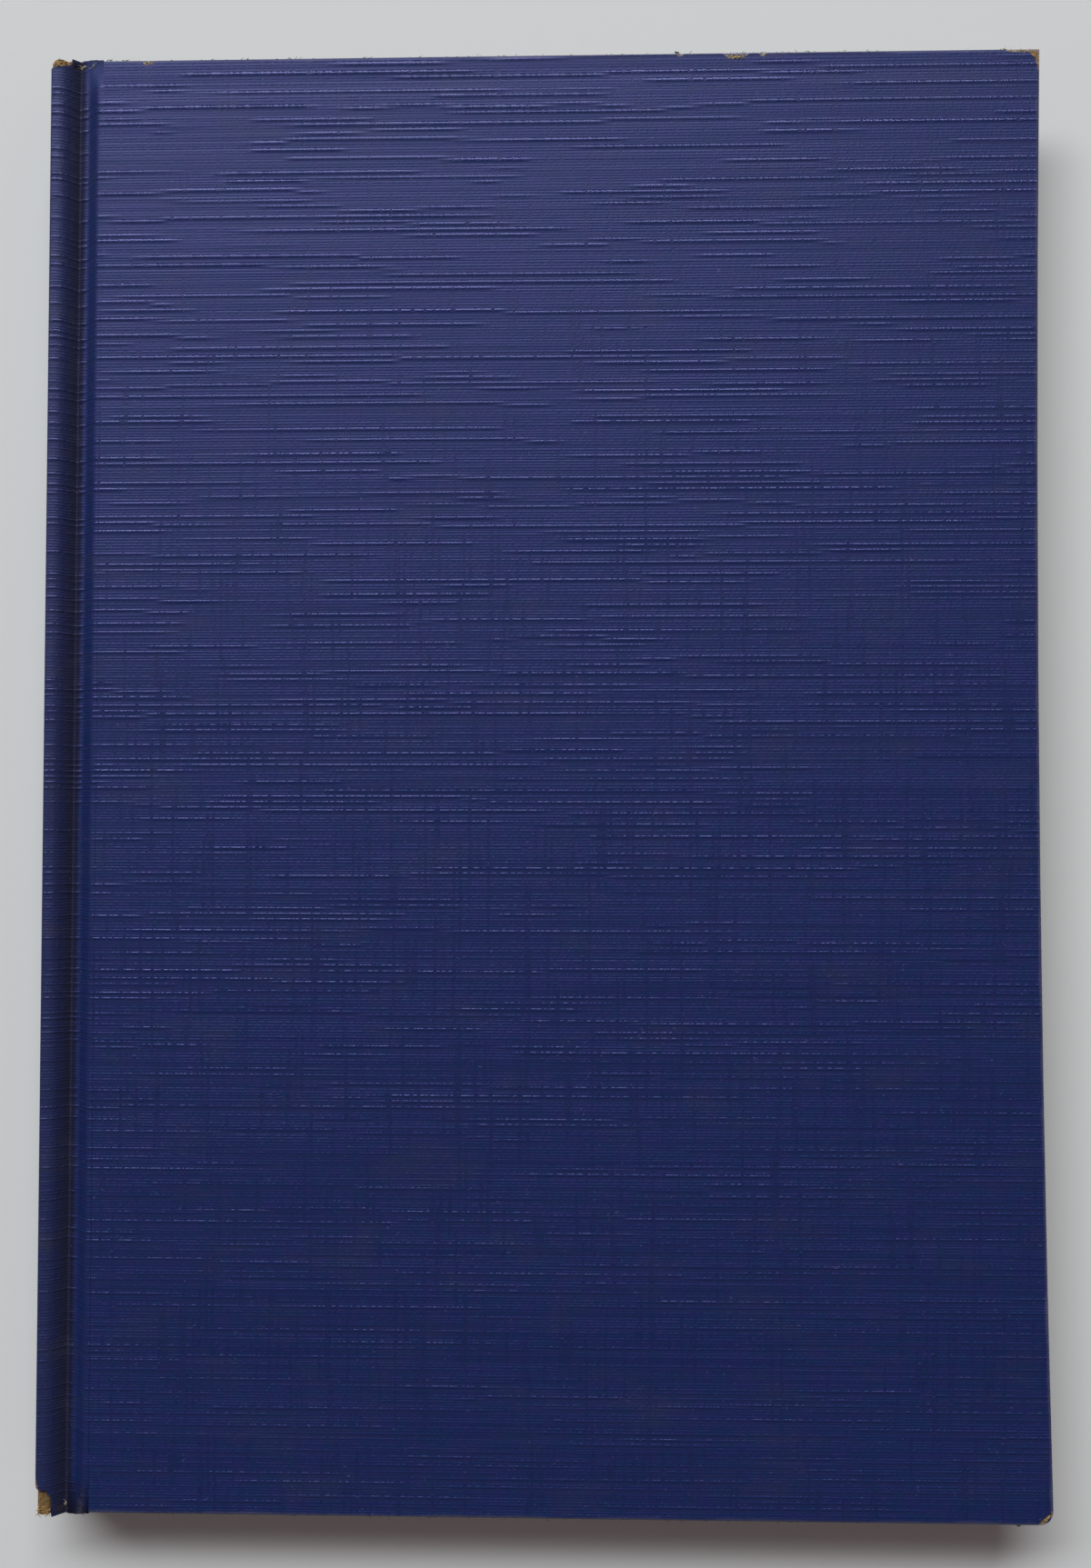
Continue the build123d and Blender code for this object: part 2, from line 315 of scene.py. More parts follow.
def worn_spine(recipe, x, y, z, colour, ragged):
    """Rubs the spine through along its outer line, in a stripe that narrows away from the tail."""
    from_tail = recipe.math("ADD", y, spine_half)
    from_line = recipe.minus(x, spine_low.x)
    width = recipe.ramp(from_tail, *STRIPE_NARROWS, *STRIPE_WIDTHS)
    inside = recipe.minus(recipe.scaled_and_added(ragged, STRIPE_RAGGED, from_line), width)
    bare = recipe.fall(inside, 0.0, STRIPE_EDGE)
    bare = recipe.times(bare, recipe.fall(from_tail, *STRIPE_ENDS))
    bare = recipe.times(bare, recipe.ramp(z, *STRIPE_HEIGHTS))
    return recipe.mix(bare, colour, WORN_TAIL)


def groove_shade_and_dirt(recipe, x):
    """How strongly painted shade and dirt lie on the cloth in the groove beside the roll."""
    start, full, thins, end = (spine_low.x + reach for reach in GROOVE_SHADE_REACH)
    return recipe.times(recipe.ramp(x, start, full), recipe.fall(x, thins, end))


# The threads of the cloth run across the book.


class ThreadGrain(NamedTuple):
    """Noise along threads: its changes for each millimetre, its step from thread to thread,
    its layer and its detail."""

    pace: float
    step: float
    layer: float
    detail: float = 1.0


THREAD_PITCH = 0.371 * MM
GAP_PITCH = 1.1 * THREAD_PITCH
GAP_STEP = 6.1
GAP_PACE = 60
GAP_LAYER = 9.0
THREAD_RELIEF = 0.034 * MM
THREAD_UNEVEN = 0.8
WEIGHT = ThreadGrain(pace=0.02, step=7.31, layer=0.0)
SLUB = ThreadGrain(pace=0.024, step=5.3, layer=4.0)
SWELL = ThreadGrain(pace=2.4, step=3.7, layer=0.0, detail=2.0)
POLISH = ThreadGrain(pace=0.012, step=4.9, layer=7.0)

# Heights and depths, as shares of a plain thread's height.
SLUB_HEIGHT = 0.56
SHADE_DEPTH = 0.45
GAP_DEPTH = 0.55
LEAN_HEIGHT = 1.25

# Shares of polish, of painted shade, painted highlight and pale colour, of the groove's painted shade and
# dirt, and of dullness.
CROWN_POLISH = 0.4
SLUB_POLISH = 0.8
POLISH_LEFT_IN_GROOVE = 0.8
VALLEY_PAINTED_SHADE = 0.36
BELOW_SLUB_PAINTED_SHADOW = 0.45
GROOVE_SHADE_SHARE = 0.9
SLUB_PAINTED_HIGHLIGHT = 0.08
NUB_PALE = 0.5
PLAIN_DULL = 0.61
SHADE_DULL = 0.3
POLISH_SHINE = 0.28


class Threads:
    """The threads of a cloth: which one a point is on, and where across and along it."""

    def __init__(self, recipe, place):
        self.recipe = recipe
        x, y, z = recipe.split(place)
        # the threads sway a little, and on the end faces they follow the height
        facing = recipe.math("ABSOLUTE", recipe.split(recipe.facing())[1])
        on_end = recipe.ramp(facing, 0.6, 0.8)
        sway = recipe.grain(place, SWAY)
        sway = recipe.scaled_and_added(recipe.grain(place, UNEVEN), THREAD_UNEVEN, sway)
        rows = recipe.scaled_and_added(z, on_end, y)
        rows = recipe.scaled_and_added(rows, 1 / THREAD_PITCH, sway)
        self.number = recipe.math("FLOOR", rows)
        self.within = recipe.math("FRACT", rows)
        off_middle = recipe.scaled_and_added(self.within, 2.0, -1.0)
        self.ridge = recipe.minus(1.0, recipe.times(off_middle, off_middle))
        self.along = recipe.times(x, 1 / MM)

    def noise(self, pattern, ahead=0.0):
        """Noise that runs along each thread, or along the one that many threads ahead."""
        pace, step, layer, detail = pattern
        thread = self.recipe.scaled_and_added(self.number, step, ahead * step)
        spot = self.recipe.join(self.recipe.times(self.along, pace), thread, layer)
        return self.recipe.noise(spot, detail)

    def thick(self, ahead=0.0):
        """Where this thread, or the one that many threads ahead, is a thick one."""
        return self.recipe.ramp(self.noise(SLUB, ahead), 0.55, 0.59)


def thread_body(recipe, threads, x, y, slub, shade):
    """How full each thread is."""
    weight = recipe.ramp(threads.noise(WEIGHT), 0.34, 0.66, to_low=0.4, to_high=1.1)
    weight = recipe.scaled_and_added(shade, -SHADE_DEPTH, weight)
    weight = recipe.scaled_and_added(slub, SLUB_HEIGHT, weight)
    # short swells where a thread crosses the ones below, and gaps between those
    swell = recipe.ramp(threads.noise(SWELL), 0.3, 0.7, to_low=0.45, to_high=1.3)
    column = recipe.math("FLOOR", recipe.times(x, 1 / GAP_PITCH))
    spot = recipe.join(recipe.times(column, GAP_STEP), recipe.times(y, GAP_PACE), GAP_LAYER)
    gap = recipe.ramp(recipe.noise(spot, detail=2.0), 0.52, 0.66)
    return recipe.times(weight, recipe.scaled_and_added(gap, -GAP_DEPTH, swell))


def colour_with_painted_shade(recipe, place, threads, body, shade):
    """Blue and violet patches, with painted shade deep between the ridges and painted shadow on the thread
    below each thick one.
    """
    patches = recipe.ramp(recipe.grain(place, PATCHES), 0.4, 0.62)
    colour = recipe.mix(patches, CLOTH_BLUE, CLOTH_VIOLET)
    # painted shade in the valleys between the ridges, and painted shadow on the thread below each thick one
    painted_shade = recipe.fall(recipe.times(threads.ridge, body), 0.0, 0.5, start=VALLEY_PAINTED_SHADE)
    painted_shade = recipe.math("MAXIMUM", painted_shade, recipe.times(shade, BELOW_SLUB_PAINTED_SHADOW))
    return recipe.mix(painted_shade, colour, CLOTH_PAINTED_SHADE)


def book_cloth(name, attribute=None, soil=0.0, rims=False, groove=False, spine=False):
    """Dyed linen-grain cloth: fine ridges across the book, thick threads here and there."""
    recipe = Recipe(name)
    place = recipe.place(attribute)
    x, y, z = recipe.split(place)
    threads = Threads(recipe, place)
    # thick threads run for a centimetre or two, one at a time, with a dark gap below each: a lower thread
    # in painted shadow
    above = threads.thick(ahead=1.0)
    slub = recipe.times(threads.thick(), recipe.minus(1.0, above))
    above = recipe.times(above, recipe.minus(1.0, threads.thick(ahead=2.0)))
    shade = recipe.times(above, recipe.ramp(threads.within, 0.25, 0.65))
    # the lit side of each thick thread, which gets more polish and a painted highlight in its colour
    lit = recipe.times(slub, recipe.ramp(threads.within, 0.2, 0.5))
    # bands of several threads lean together
    body = thread_body(recipe, threads, x, y, slub, shade)
    height = recipe.times(body, threads.ridge)
    height = recipe.scaled_and_added(recipe.grain(place, LEAN), LEAN_HEIGHT, height)
    # some threads are polished on their crowns, and thick ones more
    polish = recipe.ramp(threads.noise(POLISH), 0.34, 0.66)
    polish = recipe.times(polish, recipe.ramp(threads.ridge, 0.0, 0.5))
    polish = recipe.scaled_and_added(polish, CROWN_POLISH, recipe.times(lit, SLUB_POLISH))
    colour = colour_with_painted_shade(recipe, place, threads, body, shade)
    if groove:
        # the groove beside the roll gets painted shade and dirt in its colour, and is duller
        groove_shade = groove_shade_and_dirt(recipe, x)
        polish = recipe.minus(recipe.times(polish, POLISH_LEFT_IN_GROOVE), groove_shade)
        colour = recipe.mix(recipe.times(groove_shade, GROOVE_SHADE_SHARE), colour, GROOVE_SHADE_COLOUR)
    # pale nubs, and a painted highlight on the lit side of thick threads
    nubs = recipe.ramp(recipe.grain(place, NUBS), 0.72, 0.79)
    pale_and_highlight = recipe.scaled_and_added(lit, SLUB_PAINTED_HIGHLIGHT, recipe.times(nubs, NUB_PALE))
    colour = recipe.mix(pale_and_highlight, colour, CLOTH_PALE_AND_HIGHLIGHT)
    smudges = recipe.grain(place, SMUDGES)
    soiled = recipe.ramp(smudges, 0.5, 0.75, to_low=soil * 0.6, to_high=soil + 0.25)
    colour = recipe.mix(soiled, colour, CLOTH_SOILED)
    if rims:
        colour = worn_rims(recipe, x, y, z, colour, smudges)
    if spine:
        colour = worn_spine(recipe, x, y, z, colour, smudges)
    dull = recipe.scaled_and_added(shade, SHADE_DULL, PLAIN_DULL)
    recipe.set(
        Base_Color=colour,
        Roughness=recipe.scaled_and_added(polish, -POLISH_SHINE, dull),
        Specular_IOR_Level=0.72,
        Specular_Tint=SHEEN_TINT,
        Normal=recipe.bump(height, THREAD_RELIEF),
    )
    return recipe.material


# Board and card, where the cloth has worn through.

MILLBOARD = (linear(98, 74, 48), linear(176, 148, 108))
SPINE_CARD = (linear(110, 78, 42), linear(190, 158, 104))
BOARD_RED = linear(150, 104, 66)
BOARD_STRAW = linear(206, 186, 140)
# the colour the spine card darkens to towards the tail
CARD_TAIL_DARK = linear(84, 66, 46)
BOARD_FIBRES = Grain((3400, 1500, 5200), detail=5.0, roughness=0.7)
BOARD_PATCHES = Grain((700, 420, 900), detail=2.0)
BOARD_RELIEF = 0.14 * MM
TAIL_DARKENING_REACH = 60 * MM


def bare_board(name, dark, pale_and_highlight, darker_at_tail=False):
    """Brown board with its fibres showing."""
    recipe = Recipe(name)
    place = recipe.place()
    fibres = recipe.grain(place, BOARD_FIBRES)
    patches = recipe.grain(place, BOARD_PATCHES)
    colour = recipe.mix(recipe.ramp(fibres, 0.32, 0.68), dark, pale_and_highlight)
    colour = recipe.mix(recipe.ramp(patches, 0.5, 0.66, to_high=0.6), colour, BOARD_RED)
    colour = recipe.mix(recipe.fall(patches, 0.3, 0.42, start=0.55), colour, BOARD_STRAW)
    if darker_at_tail:
        # the card is darker towards the tail
        y = recipe.split(place)[1]
        at_tail = recipe.fall(y, -TAIL_DARKENING_REACH, TAIL_DARKENING_REACH, start=0.62)
        colour = recipe.mix(at_tail, colour, CARD_TAIL_DARK)
    recipe.set(
        Base_Color=colour,
        Roughness=0.92,
        Specular_IOR_Level=0.2,
        Normal=recipe.bump(fibres, BOARD_RELIEF),
    )
    return recipe.material


# Endpapers and pages.

PAPER_PALE = linear(226, 217, 192)
PAPER_YELLOWED = linear(220, 208, 179)
PAPER_SPOTTED = linear(166, 128, 82)
PAPER_TOOTH = Grain((3500, 3500, 3500), detail=4.0, roughness=0.65)
PAPER_CLOUDS = Grain((45, 45, 45), detail=4.0, roughness=0.6)
PAPER_SPOTS = Grain((420, 420, 420), detail=1.0)
PAPER_RELIEF = 0.02 * MM


def endpaper(name, attribute=None):
    """Uncoated paper, a little yellowed, with a fine tooth and faint spots."""
    recipe = Recipe(name)
    place = recipe.place(attribute)
    tooth = recipe.grain(place, PAPER_TOOTH)
    clouds = recipe.ramp(recipe.grain(place, PAPER_CLOUDS), 0.35, 0.7)
    spots = recipe.ramp(recipe.grain(place, PAPER_SPOTS), 0.76, 0.82, to_high=0.4)
    colour = recipe.mix(clouds, PAPER_PALE, PAPER_YELLOWED)
    colour = recipe.mix(spots, colour, PAPER_SPOTTED)
    recipe.set(
        Base_Color=colour,
        Roughness=0.85,
        Specular_IOR_Level=0.25,
        Normal=recipe.bump(tooth, PAPER_RELIEF),
    )
    return recipe.material


EDGE_SHADED = linear(170, 148, 108)
EDGE_PALE = linear(222, 208, 174)
EDGE_TONED = linear(186, 160, 116)
EDGE_LEAVES = Grain((25, 25, 11000), detail=3.0, roughness=0.7)
EDGE_CLOUDS = Grain((60, 60, 300), detail=3.0)
EDGE_RELIEF = 0.05 * MM


def page_edges(name):
    """The cut edges of the pages: toned paper with the leaves as fine lines."""
    recipe = Recipe(name)
    place = recipe.place()
    leaves = recipe.grain(place, EDGE_LEAVES)
    clouds = recipe.ramp(recipe.grain(place, EDGE_CLOUDS), 0.45, 0.7, to_high=0.5)
    colour = recipe.mix(recipe.ramp(leaves, 0.36, 0.6), EDGE_SHADED, EDGE_PALE)
    colour = recipe.mix(clouds, colour, EDGE_TONED)
    recipe.set(
        Base_Color=colour,
        Roughness=0.9,
        Specular_IOR_Level=0.2,
        Normal=recipe.bump(leaves, EDGE_RELIEF),
    )
    return recipe.material


# The spine's lining, and loose fibres.

GAUZE_GAP = linear(150, 124, 82)
GAUZE_THREAD = linear(214, 202, 170)
OLD_GLUE = linear(160, 116, 60)
GLUE_SPOTS = Grain((260, 260, 260), detail=3.0)
GAUZE_PITCH = 0.8 * MM
GAUZE_RELIEF = 0.08 * MM


def lining_gauze(name, attribute=None):
    """Open-weave cotton, stiff and shiny with old glue."""
    recipe = Recipe(name)
    place = recipe.place(attribute)
    x, y, z = recipe.split(place)
    turns = 2 * math.pi / GAUZE_PITCH
    across = recipe.math("SINE", recipe.times(y, turns))
    up = recipe.math("SINE", recipe.times(recipe.math("ADD", x, z), turns))
    weave = recipe.math("MAXIMUM", across, up)
    glue = recipe.ramp(recipe.grain(place, GLUE_SPOTS), 0.5, 0.7, to_high=0.6)
    colour = recipe.mix(recipe.ramp(weave, 0.0, 0.8), GAUZE_GAP, GAUZE_THREAD)
    colour = recipe.mix(glue, colour, OLD_GLUE)
    recipe.set(
        Base_Color=colour,
        Roughness=0.7,
        Normal=recipe.bump(weave, GAUZE_RELIEF),
    )
    return recipe.material


STRAW_FIBRES = (linear(150, 140, 116), linear(206, 198, 176))
CARD_FIBRES = (linear(128, 92, 52), linear(198, 166, 108))
BLUE_FIBRES = (linear(18, 22, 44), linear(60, 52, 56))
FIBRE_STREAKS = Grain((4000, 4000, 4000), detail=2.0)
FIBRE_RELIEF = 0.02 * MM


def frayed_thread(name, dark, pale_and_highlight):
    """Loose fibres of torn cloth and card."""
    recipe = Recipe(name)
    streaks = recipe.grain(recipe.place(), FIBRE_STREAKS)
    recipe.set(
        Base_Color=recipe.mix(recipe.ramp(streaks, 0.3, 0.7), dark, pale_and_highlight),
        Roughness=0.8,
        Specular_IOR_Level=0.3,
        Normal=recipe.bump(streaks, FIBRE_RELIEF),
    )
    return recipe.material


# The floor.

FLOOR_GREY = linear(211, 212, 213)
FLOOR_PALE = linear(215, 216, 217)
FLOOR_CLOUDS = Grain((4, 4, 4), detail=2.0)
FLOOR_TOOTH = Grain((900, 900, 900), detail=3.0)
FLOOR_RELIEF = 0.01 * MM


def floor_paper(name):
    """The pale matt surface the book lies on."""
    recipe = Recipe(name)
    place = recipe.place()
    recipe.set(
        Base_Color=recipe.mix(recipe.grain(place, FLOOR_CLOUDS), FLOOR_GREY, FLOOR_PALE),
        Roughness=0.95,
        Specular_IOR_Level=0.1,
        Normal=recipe.bump(recipe.grain(place, FLOOR_TOOTH), FLOOR_RELIEF),
    )
    return recipe.material


# Helpers for the pieces.

WELD_DISTANCE = 0.001 * MM
CUT_TOLERANCE = 1e-7
SHARP_ANGLE = math.radians(40)
ACROSS = Vector((1, 0, 0))
LENGTHWAYS = Vector((0, 1, 0))


def dress(piece, material):
    """Gives a piece this material alone."""
    piece.data.materials.clear()
    piece.data.materials.append(material)


def add_piece(name, mesh, material):
    """Puts a mesh in the scene as a new piece in this material."""
    piece = bpy.data.objects.new(name, mesh)
    bpy.context.scene.collection.objects.link(piece)
    dress(piece, material)
    return piece


def open_shape(node):
    """A node's surface to work on, with its points joined."""
    shape = bmesh.new()
    shape.from_mesh(nodes[node].data)
    bmesh.ops.remove_doubles(shape, verts=shape.verts, dist=WELD_DISTANCE)
    return shape


def cut(shape, direction, place):
    """Cuts new edges into the surface, square to a direction and at that place along it."""
    everything = shape.verts[:] + shape.edges[:] + shape.faces[:]
    point = direction * place
    bmesh.ops.bisect_plane(
        shape, geom=everything, dist=CUT_TOLERANCE, plane_co=point, plane_no=direction
    )


def closed_mesh(shape, name):
    """The shape as a mesh, when the work on it is done."""
    mesh = bpy.data.meshes.new(name)
    shape.to_mesh(mesh)
    shape.free()
    return mesh


# Pieces that bend: each takes its node's closed shape, cut finely across the joint.

REST_PLACE = "rest_place"
HINGE_START = joint_low.x
HINGE_END = board_low.x
BEND_CUTS = 26
LENGTH_CUTS = 36


def keep_rest_place(mesh):
    """Stores each point's place at rest, so that a pattern bends with the piece."""
    kept = mesh.attributes.new(REST_PLACE, "FLOAT_VECTOR", "POINT")
    for point, value in zip(mesh.vertices, kept.data):
        value.vector = point.co


def flexing_piece(node, material):
    """Replaces a node by a piece that bends between the block and one cover."""
    shape = open_shape(node)
    low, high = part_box(node)
    for step in range(1, BEND_CUTS):
        cut(shape, ACROSS, HINGE_START + (HINGE_END - HINGE_START) * step / BEND_CUTS)
    for step in range(1, LENGTH_CUTS):
        cut(shape, LENGTHWAYS, low.y + (high.y - low.y) * step / LENGTH_CUTS)
    bmesh.ops.triangulate(shape, faces=shape.faces)
    mesh = closed_mesh(shape, f"{node}_bending")
    mesh.shade_smooth()
    mesh.set_sharp_from_angle(angle=SHARP_ANGLE)
    keep_rest_place(mesh)
    piece = add_piece(f"{node}_bending", mesh, material)
    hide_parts(node)
    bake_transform(piece)


def make_joints():
    cloth = book_cloth("joint cloth", attribute=REST_PLACE, groove=True)
    paper = endpaper("joint endpaper", attribute=REST_PLACE)
    gauze = lining_gauze("joint lining", attribute=REST_PLACE)
    for side in ("front", "back"):
        flexing_piece(f"{side}_joint_cloth", cloth)
        flexing_piece(f"{side}_endpaper_hinge", paper)
        flexing_piece(f"{side}_lining_hinge", gauze)


# The card strip: as its node, with the corners bared at the head and tail worn round.

STRIP_WEAR = 1.9 * MM
STRIP_WEAR_START = 0.15 * MM
STRIP_WEAR_HEIGHT = 8.3 * MM
STRIP_WEAR_RISE = 1.0 * MM
STRIP_RAGGED = 0.12 * MM
STRIP_RAGGED_PACE = 2600
STRIP_CUT = 0.12 * MM
STRIP_CUTS = 26
STRIP_END = 0.01 * MM


def strip_wear(point):
    """How far the strip's end has worn back at this point."""
    across = max(STRIP_WEAR - (point.x - spine_low.x - STRIP_WEAR_START), 0.0)
    across = min(across, STRIP_WEAR)
    depth = STRIP_WEAR - math.sqrt(STRIP_WEAR**2 - across**2)
    depth += STRIP_RAGGED * (0.5 + noise.noise(point * STRIP_RAGGED_PACE))
    share = min(max((point.z - STRIP_WEAR_HEIGHT) / STRIP_WEAR_RISE, 0.0), 1.0)
    return max(depth * share, 0.0)


def make_strip(material):
    shape = open_shape("spine_strip")
    for step in range(STRIP_CUTS):
        cut(shape, ACROSS, strip_low.x + STRIP_CUT * (step + 0.5))
    for side in (-1, 1):
        cut(shape, LENGTHWAYS, side * (strip_high.y - 2 * STRIP_WEAR))
    bmesh.ops.triangulate(shape, faces=shape.faces)
    # the edges are set sharp before the ends are worn, so that the wear leaves the shading even
    for face in shape.faces:
        face.smooth = True
    for edge in shape.edges:
        edge.smooth = edge.calc_face_angle(0.0) < SHARP_ANGLE
    for point in shape.verts:
        if abs(point.co.y) > strip_high.y - STRIP_END:
            point.co.y -= math.copysign(strip_wear(point.co), point.co.y)
    piece = add_piece("worn_strip", closed_mesh(shape, "worn_strip"), material)
    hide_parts("spine_strip")
    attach(piece, "book_block")


# The rigid pieces keep their shapes.


def dress_frame():
    cloth = book_cloth("cover cloth", rims=True)
    spine = book_cloth("spine cloth", soil=0.5, groove=True, spine=True)
    board = bare_board("bare millboard", *MILLBOARD)
    card = bare_board("spine card", *SPINE_CARD, darker_at_tail=True)
    paper = endpaper("endpaper")
    gauze = lining_gauze("spine lining")
    make_strip(card)
    wearing = {
        "spine_cloth": spine,
        "spine_lining": gauze,
    }
    for side in ("front", "back"):
        wearing[f"{side}_cover_cloth"] = cloth
        wearing[f"{side}_board"] = board
        wearing[f"{side}_pastedown"] = paper
        wearing[f"{side}_flyleaf"] = paper
        wearing[f"{side}_lining_flap"] = gauze
    for node, material in wearing.items():
        dress(nodes[node], material)


# The pages: a stack of leaves in folded gatherings, each leaf cut a little differently.

LEAVES = 48
LEAVES_IN_GATHERING = 6
FOLD_ROUND = 0.15 * MM
SPINE_ROUND = 0.2 * MM
FORE_HOLLOW = 0.45 * MM
FORE_RAGGED = 0.07 * MM
END_RAGGED = 0.05 * MM
BACK_CLEARANCE = 0.01 * MM
END_STEPS = 26
FORE_STEPS = 34
PAGES_SEED = 7
# the wave of the cut edges: its changes for each metre, from leaf to leaf and with the trim
WAVE_PACE = 55
WAVE_LEAF_STEP = 3.3
WAVE_TRIM_STEP = 9


def leaf_outline(number, draw):
    """The corners and edge points of one leaf, as seen from above."""
    height = (number + 0.5) / LEAVES * 2 - 1
    in_fold = (number % LEAVES_IN_GATHERING + 0.5) / LEAVES_IN_GATHERING * 2 - 1
    near = pages_low.x + SPINE_ROUND * height**2 + FOLD_ROUND * in_fold**2 + BACK_CLEARANCE
    fore = pages_high.x - FORE_HOLLOW * (1 - height**2)
    trims = [draw.random() for _ in range(3)]
    points = []

    def ragged(place, trim, reach):
        wave = noise.noise(Vector((place * WAVE_PACE, number * WAVE_LEAF_STEP, trim * WAVE_TRIM_STEP)))
        return reach * min(max(0.5 * trim + 0.5 * (0.5 + wave), 0.0), 1.0)

    for step in range(END_STEPS):
        x = near + (fore - near) * step / END_STEPS
        points.append((x, pages_low.y + ragged(x, trims[0], END_RAGGED)))
    for step in range(FORE_STEPS):
        y = pages_low.y + (pages_high.y - pages_low.y) * step / FORE_STEPS
        points.append((fore - ragged(y, trims[1], FORE_RAGGED), max(y, pages_low.y + END_RAGGED / 2)))
    for step in range(END_STEPS + 1):
        x = fore + (near - fore) * step / END_STEPS
        points.append((x, pages_high.y - ragged(x, trims[2], END_RAGGED)))
    return points


def make_pages():
    draw = random.Random(PAGES_SEED)
    thickness = (pages_high.z - pages_low.z) / LEAVES
    points = []
    faces = []
    for number in range(LEAVES):
        outline = leaf_outline(number, draw)
        for level in (number, number + 1):
            points += [(x, y, pages_low.z + level * thickness) for x, y in outline]
    ring = len(outline)
    for layer in range(2 * LEAVES - 1):
        for step in range(ring):
            first = layer * ring + step
            second = layer * ring + (step + 1) % ring
            faces.append((first, second, second + ring, first + ring))
    faces.append(tuple(reversed(range(ring))))
    faces.append(tuple(range((2 * LEAVES - 1) * ring, 2 * LEAVES * ring)))
    mesh = bpy.data.meshes.new("leaves")
    mesh.from_pydata(points, [], faces)
    piece = add_piece("leaves", mesh, page_edges("page edges"))
    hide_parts("page_block")
    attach(piece, "book_block")


# Loose fibres at the worn places, with all lengths in millimetres. A place is the distance from
# the spine's outermost line, and the distance inwards from the case's head or tail.

# The cloth's outer line over the roll and the groove: the distance from the spine, and the height.
ROLL = (
    (0.0, 5.4), (0.5, 9.6), (0.62, 10.35), (0.9, 10.72), (1.3, 10.75), (2.1, 10.6),
    (2.84, 10.15), (4.06, 9.02), (4.35, 9.0), (4.55, 9.2), (5.1, 9.25), (5.85, 9.55),
    (6.7, 10.4), (7.1, 10.67), (7.6, 10.8), (140.0, 10.8),
)
FIBRE_SIDES = 5
FIBRE_STEP = 0.11
FIBRE_LEAST_STEPS = 3
FIBRE_WANDER = 0.28
FIBRE_UNEVEN = 0.02
FIBRE_TAPER = 0.7
FIBRE_LENGTHS = (0.5, 1.2)
FIBRE_WIDTHS = (0.7, 1.2)


class Bunch(NamedTuple):
    """Fibres that start round one place: how widely they are spread across and inwards, how
    many, their direction and its spread in degrees, their length and width, how deep they
    start below the cloth's outer line, and how steeply they rise."""

    place: tuple
    spread: tuple
    count: int
    turn: float
    fan: float
    length: float
    width: float
    sink: float
    lift: float = 0.0


def cloth_height(across):
    """The height of the cloth's outer line, that far from the spine."""
    for (near, low), (far, high) in zip(ROLL, ROLL[1:]):
        if across <= far:
            return low + (high - low) * (across - near) / (far - near)
    return ROLL[-1][1]


def fibre_path(draw, start, turn, length, sink, lift):
    """A wandering line over the surface: it starts at a place and runs off in a direction."""
    across, inward = start
    heading = math.radians(turn)
    points = []
    rise = 0.0
    for _ in range(max(int(length / FIBRE_STEP), FIBRE_LEAST_STEPS)):
        points.append(Vector((across, inward, cloth_height(across) - sink + rise)))
        heading += draw.gauss(0, FIBRE_WANDER)
        across += FIBRE_STEP * math.cos(heading)
        inward += FIBRE_STEP * math.sin(heading)
        rise += lift * FIBRE_STEP + draw.gauss(0, FIBRE_UNEVEN)
    return points


def add_tube(points, faces, path, width):
    """Adds a thin tapering tube along a path."""
    first = len(points)
    for number, place in enumerate(path):
        ahead = path[min(number + 1, len(path) - 1)] - path[max(number - 1, 0)]
        ahead.normalize()
        side = ahead.cross(Vector((0, 0, 1)))
        side.normalize()
        up = side.cross(ahead)
        radius = width / 2 * (1 - FIBRE_TAPER * number / (len(path) - 1))
        for corner in range(FIBRE_SIDES):
            angle = 2 * math.pi * corner / FIBRE_SIDES
            points.append(place + side * (radius * math.cos(angle)) + up * (radius * math.sin(angle)))
    for number in range(len(path) - 1):
        for corner in range(FIBRE_SIDES):
            near = first + number * FIBRE_SIDES + corner
            far = first + number * FIBRE_SIDES + (corner + 1) % FIBRE_SIDES
            faces.append((near, far, far + FIBRE_SIDES, near + FIBRE_SIDES))
    faces.append(tuple(range(first, first + FIBRE_SIDES))[::-1])
    last = first + (len(path) - 1) * FIBRE_SIDES
    faces.append(tuple(range(last, last + FIBRE_SIDES)))


def add_bunch(points, faces, draw, bunch):
    """Adds the fibres of one bunch, each a little different."""
    across, inward = bunch.place
    wide, painted_shade = bunch.spread
    for _ in range(bunch.count):
        start = (across + draw.uniform(-wide, wide), inward + draw.uniform(-painted_shade, painted_shade))
        turn = bunch.turn + draw.gauss(0, bunch.fan)
        length = bunch.length * draw.uniform(*FIBRE_LENGTHS)
        path = fibre_path(draw, start, turn, length, bunch.sink, bunch.lift)
        add_tube(points, faces, path, bunch.width * draw.uniform(*FIBRE_WIDTHS))


def make_fibres(name, material, body, end, bunches, seed):
    """Makes one piece of fibres at the head or tail."""
    draw = random.Random(seed)
    points = []
    faces = []
    for bunch in bunches:
        add_bunch(points, faces, draw, bunch)
    places = []
    for point in points:
        # from millimetres inwards from the end to the frame's own metres
        y = min(case_half - point.y * MM, spine_half)
        z = min(point.z * MM, cad_box[1].z)
        places.append((spine_low.x + point.x * MM, y if end == "head" else -y, z))
    mesh = bpy.data.meshes.new(name)
    mesh.from_pydata(places, [], faces)
    mesh.update()
    shape = bmesh.new()
    shape.from_mesh(mesh)
    bmesh.ops.recalc_face_normals(shape, faces=shape.faces)
    shape.to_mesh(mesh)
    shape.free()
    mesh.shade_smooth()
    piece = add_piece(name, mesh, material)
    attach(piece, body)


